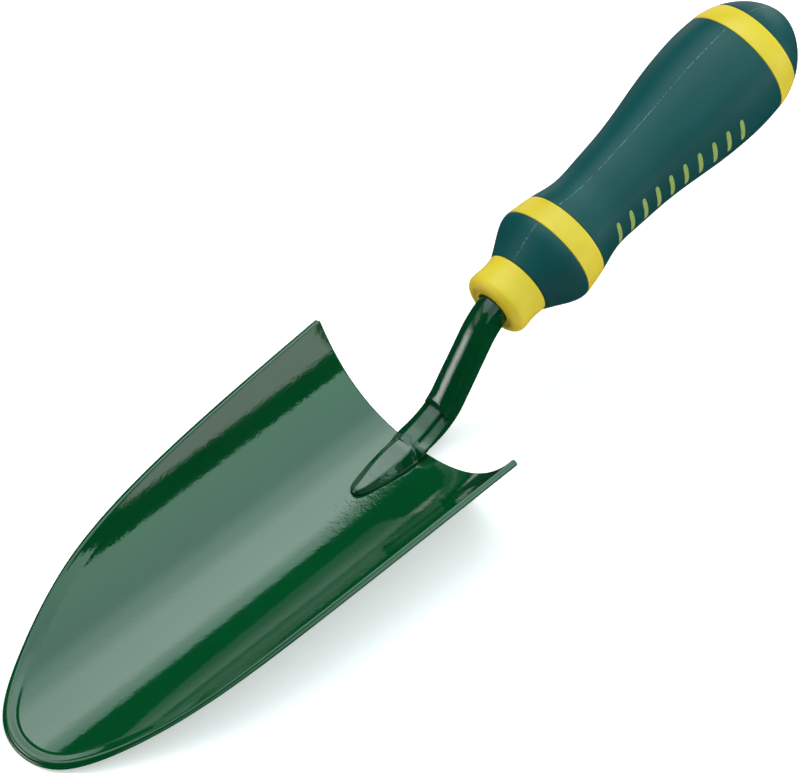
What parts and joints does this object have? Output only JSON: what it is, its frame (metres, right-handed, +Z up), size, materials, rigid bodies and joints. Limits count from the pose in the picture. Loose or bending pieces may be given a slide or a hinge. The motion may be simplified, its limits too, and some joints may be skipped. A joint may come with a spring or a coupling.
{
  "type": "hand trowel",
  "caption": "Garden hand trowel with a scoop-shaped pressed steel blade, a cranked forged tang and a rounded rubber-covered handle with flush plastic rings.",
  "frame": {"origin": "centre of the bounding box's base, on the ground under the trowel as it lies on the back of its blade", "axes": "+X from the blade's tip to the end of the handle, +Y to the left, +Z up out of the blade's hollow"},
  "size_m": [0.3108, 0.0808, 0.0794],
  "materials": {
    "green_paint": "gloss",
    "core_plastic": "satin",
    "grip_rubber": "satin"
  },
  "bodies": {
    "root": {"blade": "green_paint", "tang": "green_paint", "weld_bead": "green_paint", "handle_core": "core_plastic", "grip_nose": "grip_rubber", "grip_main": "grip_rubber", "grip_cap": "grip_rubber"}
  },
  "joints": []
}
